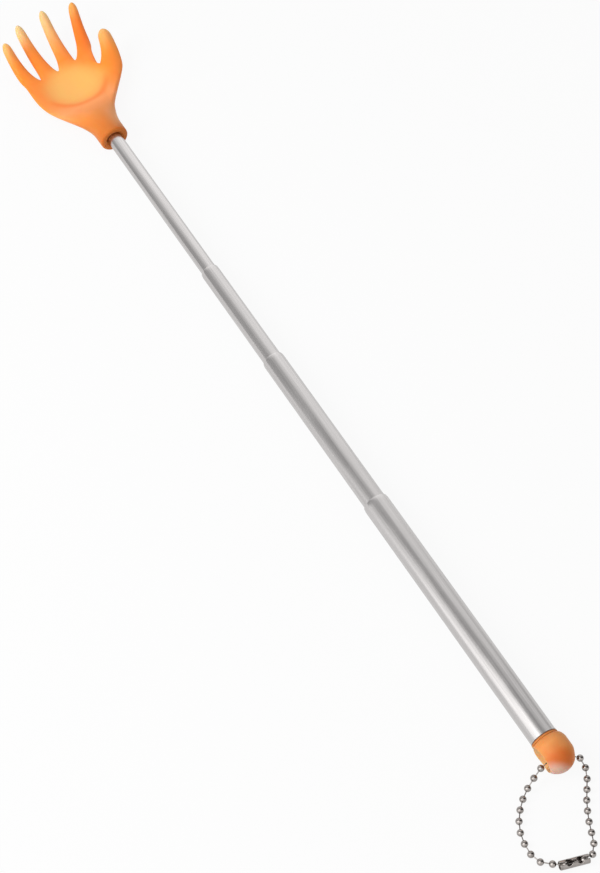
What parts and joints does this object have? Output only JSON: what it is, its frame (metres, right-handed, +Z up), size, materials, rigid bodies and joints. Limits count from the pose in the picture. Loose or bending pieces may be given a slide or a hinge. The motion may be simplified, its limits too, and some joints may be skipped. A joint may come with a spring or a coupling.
{
  "type": "back scratcher",
  "caption": "Telescopic back scratcher: a moulded open hand on nested steel tubes that slide and turn, with an end knob and a ball chain loop for hanging.",
  "frame": {"origin": "on the pole's axis, midway along the handle tube, where a clip holds it", "axes": "+X along the pole towards the hand, +Z up out of the palm, +Y towards the little finger"},
  "size_m": [0.4152, 0.0497, 0.0152],
  "materials": {
    "tube_steel": "satin drawn stainless tube",
    "orange_plastic": "translucent orange moulding",
    "bush_brass": "plain sprung strip",
    "chain_nickel": "bright nickel plate"
  },
  "bodies": {
    "handle": {"handle_tube": "tube_steel", "end_knob": "orange_plastic"},
    "chain": {"chain_connector": "chain_nickel", "chain_links": "chain_nickel", "chain_bead_01": "chain_nickel", "chain_bead_02": "chain_nickel", "chain_bead_03": "chain_nickel", "chain_bead_04": "chain_nickel", "chain_bead_05": "chain_nickel", "chain_bead_06": "chain_nickel", "chain_bead_07": "chain_nickel", "chain_bead_08": "chain_nickel", "chain_bead_09": "chain_nickel", "chain_bead_10": "chain_nickel", "chain_bead_11": "chain_nickel", "chain_bead_12": "chain_nickel", "chain_bead_13": "chain_nickel", "chain_bead_14": "chain_nickel", "chain_bead_15": "chain_nickel", "chain_bead_16": "chain_nickel", "chain_bead_17": "chain_nickel", "chain_bead_18": "chain_nickel", "chain_bead_19": "chain_nickel", "chain_bead_20": "chain_nickel", "chain_bead_21": "chain_nickel", "chain_bead_22": "chain_nickel", "chain_bead_23": "chain_nickel", "chain_bead_24": "chain_nickel", "chain_bead_25": "chain_nickel", "chain_bead_26": "chain_nickel"},
    "third_bush": {"third_bush_upper": "bush_brass", "third_bush_lower": "bush_brass"},
    "third_section": {"third_tube": "tube_steel"},
    "second_bush": {"second_bush_upper": "bush_brass", "second_bush_lower": "bush_brass"},
    "second_section": {"second_tube": "tube_steel"},
    "tip_bush": {"tip_bush_upper": "bush_brass", "tip_bush_lower": "bush_brass"},
    "tip_section": {"tip_tube": "tube_steel", "scratching_hand": "orange_plastic"}
  },
  "joints": [
    {"name": "third_slide", "type": "slide", "parent": "handle", "child": "third_bush", "axis": [1, 0, 0], "range_m": [-0.0675, 0.018]},
    {"name": "third_twist", "type": "hinge", "parent": "third_bush", "child": "third_section", "pos_m": [0.0285, 0, 0], "axis": [1, 0, 0], "continuous": true},
    {"name": "second_slide", "type": "slide", "parent": "third_section", "child": "second_bush", "axis": [1, 0, 0], "range_m": [-0.044, 0.037]},
    {"name": "second_twist", "type": "hinge", "parent": "second_bush", "child": "second_section", "pos_m": [0.081, 0, 0], "axis": [1, 0, 0], "continuous": true},
    {"name": "tip_slide", "type": "slide", "parent": "second_section", "child": "tip_bush", "axis": [1, 0, 0], "range_m": [-0.0735, 0.003]},
    {"name": "tip_twist", "type": "hinge", "parent": "tip_bush", "child": "tip_section", "pos_m": [0.162, 0, 0], "axis": [1, 0, 0], "continuous": true},
    {"name": "chain_swing", "type": "hinge", "parent": "handle", "child": "chain", "pos_m": [-0.0602, 0, 0], "axis": [0.2504, 0.9681, 0], "range_deg": [-120, 150]}
  ]
}
